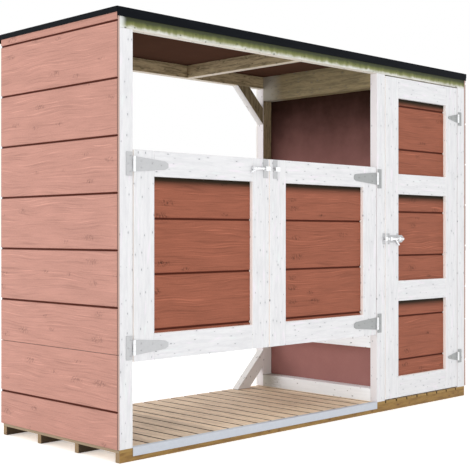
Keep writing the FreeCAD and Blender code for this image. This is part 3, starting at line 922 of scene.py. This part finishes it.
@dataclass
class Frame(Assembly):
    """Posts, headers, rafters, rails and braces."""

    easing: float = 0.0015

    def build(self) -> None:
        """Ease and dress the timbers."""
        white, shaded_white = Palette.white, Palette.shaded_white
        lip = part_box("roof_long_trims")[0].z
        header = Timber(
            "header_timber", Run.ALONG, (0.60, 0.60, 0.56), (0.40, 0.40, 0.34),
            (0.035, 0.04, 0.015), knots=0.95, knot_size=0.095, streaks=1.0, roughness=0.55,
            relief=0.0003, washes=(
                # A green algae stain under the fascia that deepens into painted shade right below
                # it.
                Wash((0.20, 0.205, 0.060), "z", lip - 0.038, lip - 0.024, 0.92, 0.026),
                Wash((0.080, 0.094, 0.018), "z", lip - 0.033, lip - 0.015, 0.9, 0.034),
                Wash((0.026, 0.032, 0.009), "z", lip - 0.020, lip - 0.007, 0.95, 0.018),
                Wash((0.62, 0.64, 0.62), "x", -1.062, -1.092, 0.92),
                Wash((0.62, 0.59, 0.52), "facing_z", -0.5, -0.9)))
        self.ease("front_header", header, "shed", "plain_timber", self.easing)
        # Painted light: the posts' side faces are laid paler than their fronts, the right-hand
        # side palest.
        posts = white("post_paint", Run.UP, (
            Wash((0.72, 0.69, 0.70), "facing_x", -0.5, -0.95),
            Wash((0.90, 0.88, 0.87), "facing_x", 0.5, 0.95)))
        self.ease("front_posts", posts, "shed", "white_timber", self.easing)
        # Painted light: the undersides are laid paler, as lit from below.
        lit = Wash((0.52, 0.47, 0.38), "facing_z", -0.6, -0.95)
        self.ease("rear_header", shaded_white("rear_header_timber", Run.ALONG, (lit,)), "shed",
                  "plain_timber", self.easing)
        self.ease("roof_rafters", shaded_white("rafter_timber", Run.DEEP, (lit,)), "shed",
                  "plain_timber", self.easing)
        # Painted shade and light on the rear posts: darker toward the top under the roof, pale
        # lower down, and the middle post's left face laid pale.
        side = min(box[0].x for box in part_boxes("rear_posts") if box[0].x > 0)
        painted_light_below = Wash((0.74, 0.73, 0.71), "z", 0.95, 0.28, 0.95)
        face = Wash((0.76, 0.73, 0.745), "x", side + 0.0025, side + 0.0010)
        self.ease("rear_posts", shaded_white("rear_post_timber", Run.UP, (
            Wash((0.12, 0.090, 0.050), "z", 1.0, 1.3, 0.4), painted_light_below, face)),
            "shed", "plain_timber", self.easing)
        # Painted shade darkens the braces toward the top; painted light pales their left faces
        # and lower parts.
        self.ease("rear_braces", shaded_white("brace_timber", Run.UP, (
            Wash((0.10, 0.080, 0.045), "z", 1.2, 1.35, 0.5),
            Wash((0.56, 0.55, 0.54), "facing_x", -0.3, -0.6), painted_light_below)),
            "shed", "plain_timber", self.easing)
        self.ease("left_wall_rails", white("wall_rail_paint", Run.DEEP), "shed",
                  "white_timber", self.easing)
        self.ease("right_wall_rails", white("wall_rail_paint", Run.DEEP), "shed",
                  "white_timber", self.easing)
        self.ease("rear_wall_rails", white("rear_rail_paint", Run.ALONG), "shed",
                  "white_timber", self.easing)
        # Painted shade: the top rail under the roof is multiplied to a yellowish brown; painted
        # light: the lower rail is laid whiter.
        underside = part_boxes("partition_rails")[-1][0].z
        khaki_shade = Wash((0.36, 0.285, 0.150), "z", underside - 0.02, underside - 0.01,
                     mode="MULTIPLY")
        lit_low_white = Wash((0.94, 0.97, 1.0), "z", 0.60, 0.45, 0.85)
        end = Wash((0.34, 0.32, 0.27), "y", 0.20, 0.30, 0.9, 0.10)
        partition = Timber(
            "partition_rail_timber", Run.DEEP, (0.74, 0.74, 0.74), (0.38, 0.38, 0.38),
            (0.12, 0.12, 0.12), knots=0.85, knot_size=0.085, streaks=1.0, roughness=0.5,
            relief=0.0004, washes=(khaki_shade, lit_low_white, end))
        self.ease("partition_rails", partition, "shed", "white_timber", self.easing)
        # Painted shade and light: near-black at the top under the roof, a lighter red-brown lower
        # down.
        panel = Board("partition_board", (0.020, 0.009, 0.006), (0.35, 0.165, 0.150), "z",
                      1.52, 0.85, gloss=0.0)
        self.repaint("partition_panel", panel)


@dataclass
class Walls(Assembly):
    """Grooved siding on both ends and behind the tool compartment."""

    def build(self) -> None:
        """Dress the siding."""
        # The wall paint is a paler copy of the doors' brick red: painted sheen.
        paint, edge = Palette.SALMON_SHEEN, Palette.GROOVE_SHADE
        tan, pale = (0.42, 0.29, 0.25), (0.82, 0.80, 0.78)
        for name, axis, inward, way, drift, side in (
                ("left_siding", "x", 1.0, Run.DEEP, 0.0, tan),
                ("right_siding", "x", -1.0, Run.DEEP, 5.0, tan),
                ("rear_siding", "y", -1.0, Run.ALONG, 9.0, pale)):
            low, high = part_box(name)
            outer = getattr(low if inward > 0 else high, axis)
            # Each wall's grooves carry the painted shade colour given as edge.
            self.repaint(name, Siding(
                name + "_paint", paint, edge, axis, outer, inward, WALL_GROOVE - GROOVE_PITCH * 2,
                way=way, drift=drift, edge=side,
                edge_line=pale if axis == "y" else Siding.edge_line))


@dataclass
class Roof(Assembly):
    """Film-faced deck under felt, with folded metal trims round it."""

    def build(self) -> None:
        """Dress the deck and felt and ease the trims."""
        self.repaint("roof_deck", Board("roof_board", (0.058, 0.029, 0.019),
                                        (0.070, 0.035, 0.023), "x", -1.0, 1.0,
                                        gloss=0.0))
        self.repaint("roof_felt", Felt("roof_felt"))
        self.ease("roof_long_trims", Trim("trim_coat"), "shed", "black_trim", 0.0007)
        self.ease("roof_end_trims", Trim("trim_coat"), "shed", "black_trim", 0.0007)


@dataclass
class Door(Assembly):
    """A framed door with grooved panels, hung on hinges."""

    body: str = ""
    prefix: str = ""
    panels: str = ""
    first_groove: float = 0.0
    easing: float = 0.0012

    def build(self) -> None:
        """Ease the frame and dress the panels."""
        # Painted light: the stiles' sides and the rails' tops are laid paler than their fronts.
        lit_reveal = (0.97, 0.92, 0.88)
        stiles = Palette.white("stile_paint", Run.UP, (
            Wash(lit_reveal, "facing_x", -0.5, -0.95), Wash(lit_reveal, "facing_x", 0.5, 0.95)))
        rails = Palette.white("rail_paint", Run.ALONG, (
            Wash(lit_reveal, "facing_z", 0.5, 0.95),))
        self.ease(self.prefix + "_stiles", stiles, self.body, "white_timber", self.easing)
        self.ease(self.prefix + "_rails", rails, self.body, "white_timber", self.easing)
        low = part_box(self.panels)[0]
        # Painted shadow: a dark stretch 55 mm tall at the top of each panel, under its rail.
        rail_shadow_bands = tuple((box[1].z, 0.055) for box in part_boxes(self.panels))
        self.repaint(self.panels, Siding(
            self.panels + "_paint", Palette.BRICK, Palette.GROOVE_SHADE, "y", low.y, 1.0,
            self.first_groove, contrast=0.42, way=Run.ALONG, drift=low.x * 3.0,
            shades=rail_shadow_bands))


@dataclass
class Fixings(Assembly):
    """Hinges and latches with their screws."""

    head: float = 0.0042
    zinc: Metal = Metal("galvanised", (0.44, 0.445, 0.455), 0.10, 0.50, 0.03, 0.04)
    # Painted shade: a darker copy of the zinc for every hinge but the left door's, with its
    # screws.
    shaded_zinc: Metal = Metal("galvanised_shaded", (0.30, 0.31, 0.31), 0.10, 0.50, 0.05, 0.05)
    steel: Metal = Metal("bright_steel", (0.70, 0.71, 0.71), 0.6, 0.30, 0.04)

    def build(self) -> None:
        """Ease the ironwork and add the screws."""
        for door, body in (("left_door", "left_bin_door"), ("right_door", "right_bin_door"),
                           ("tool_door", "tool_door")):
            for kind, owner in (("_hinge_plates", "shed"), ("_hinge_straps", body)):
                node = door + kind
                # Painted shade: all hinges but the left door's get the darker zinc.
                zinc = self.zinc if door == "left_door" else self.shaded_zinc
                self.ease(node, zinc, owner, "galvanised_steel", 0.0004, 1, 40.0)
                self.screws(node, owner, door != "left_door", kind == "_hinge_straps")
        for node, body in (("bin_latch_guide", "left_bin_door"),
                           ("bin_latch_keep", "right_bin_door"),
                           ("tool_latch_guides", "tool_door"), ("tool_latch_keep", "shed")):
            self.ease(node, self.zinc, body, "galvanised_steel", 0.0004, 1, 40.0)
        for node, body in (("bin_latch_bolt", "bin_bolt"), ("tool_latch_bolt", "tool_bolt")):
            self.ease(node, self.steel, body, "galvanised_steel", 0.0006, 2, 40.0)

    def screws(self, node: str, body: str, pin_right: bool, strap: bool) -> None:
        """Add the screws of a hinge's leaves.

        Args:
            node: the leaves' CAD node.
            body: the body they ride on.
            pin_right: whether the pin is on the strap's right.
            strap: whether these are straps, and not plates.
        """
        bm = bmesh.new()
        dice = random.Random(node)
        for low, high in part_boxes(node):
            mid, wide, tall = (low.z + high.z) / 2, high.x - low.x, high.z - low.z
            leaf = FRONT_FACE - LEAF_THICKNESS
            if strap:
                places = [(0.24, 0.22), (0.24, -0.22), (0.55, 0.12), (0.80, 0.0)]
                if wide < 0.10:
                    places = [(0.32, 0.2), (0.32, -0.2), (0.70, 0.0)]
                root = high.x if pin_right else low.x
                way = -1.0 if pin_right else 1.0
            else:
                places = [(0.52, 0.33), (0.52, -0.33), (0.78, 0.0)]
                root = low.x if pin_right else high.x
                way = 1.0 if pin_right else -1.0
            for share, lift in places:
                at = Vector((root + way * wide * share, leaf, mid + tall * lift))
                screw_head(bm, at, Vector((0, -1, 0)), self.head, dice.uniform(0, 1.5))
        self.keep(to_object(bm, node + "_screws", 40.0), self.shaded_zinc if pin_right else self.zinc,
                  body, "galvanised_steel")


# ---------------------------------------------------------------- studio

@dataclass(frozen=True)
class Sweep(Finish):
    """Pale matt floor paint."""

    colour: Colour = (0.93, 0.93, 0.93)

    def lay(self, g: Graph) -> None:
        """Fill the graph with a faint mottle."""
        cloud = g.noise(g.place * 2.0, 2.0)
        g.finish(g.tone(self.colour, cloud * 0.03 + 0.985), 0.9, gloss=0.1, glow=0.35)


@dataclass
class Studio:
    """Pale floor, soft light and the camera."""

    eye: Vector = field(default_factory=lambda: Vector((-3.3652, -3.2463, 0.8109)))
    turn: float = 44.713
    lens: float = 78.98
    rise: float = -1.16 / 470.0

    def build(self) -> None:
        """Make the floor, lights and camera."""
        bm = bmesh.new()
        bmesh.ops.create_grid(bm, x_segments=4, y_segments=4, size=40.0)
        floor = to_object(bm, "studio_floor")
        floor.location.z = -0.0005
        floor.data.materials.append(Sweep("studio_floor").material())
        world = bpy.data.worlds.new("studio")
        world.use_nodes = True
        world.node_tree.nodes["Background"].inputs["Color"].default_value = (1, 1, 1, 1)
        world.node_tree.nodes["Background"].inputs["Strength"].default_value = 1.0
        scene = bpy.context.scene
        scene.world = world
        scene.view_settings.view_transform = "Standard"
        self.lamp("key", (-2.2, -3.6, 6.5), 3.0, 60.0)
        self.lamp("yard", (-2.8, 5.6, 1.7), 3.0, 200.0, False)
        self.lamp("fill", (-0.9, -4.2, 0.35), 1.6, 24.0, False)
        camera = bpy.data.cameras.new("camera")
        camera.lens, camera.sensor_width, camera.shift_y = self.lens, 36.0, self.rise
        view = bpy.data.objects.new("camera", camera)
        view.location = self.eye
        view.rotation_euler = (math.pi / 2, 0.0, math.radians(-self.turn))
        scene.collection.objects.link(view)
        scene.camera = view

    def lamp(self, name: str, at: tuple[float, float, float], size: float,
             watts: float, mirrored: bool = True) -> None:
        """Add a soft square lamp that faces the shed's middle.

        Args:
            name: its name.
            at: its place.
            size: its side.
            watts: its power.
            mirrored: whether shiny surfaces show it.
        """
        light = bpy.data.lights.new(name, "AREA")
        light.size, light.energy = size, watts
        lamp = bpy.data.objects.new(name, light)
        lamp.location = at
        lamp.rotation_euler = (Vector((0, 0, 0.8)) - Vector(at)).to_track_quat(
            "-Z", "Y").to_euler()
        lamp.visible_glossy = mirrored
        bpy.context.scene.collection.objects.link(lamp)


def main() -> None:
    """Build the shed's looks in order."""
    logging.basicConfig(level=logging.INFO, format="%(message)s")
    Studio().build()
    for part in (Floor(), Frame(), Walls(), Roof(),
                 Door("left_bin_door", "left_door", "left_door_panel", BIN_DOOR_GROOVE),
                 Door("right_bin_door", "right_door", "right_door_panel", BIN_DOOR_GROOVE),
                 Door("tool_door", "tool_door", "tool_door_panels", TOOL_DOOR_GROOVE),
                 Fixings()):
        part.build()
        log.info("%s: %d pieces", type(part).__name__, len(part.pieces))


if __name__ == "__main__":
    main()
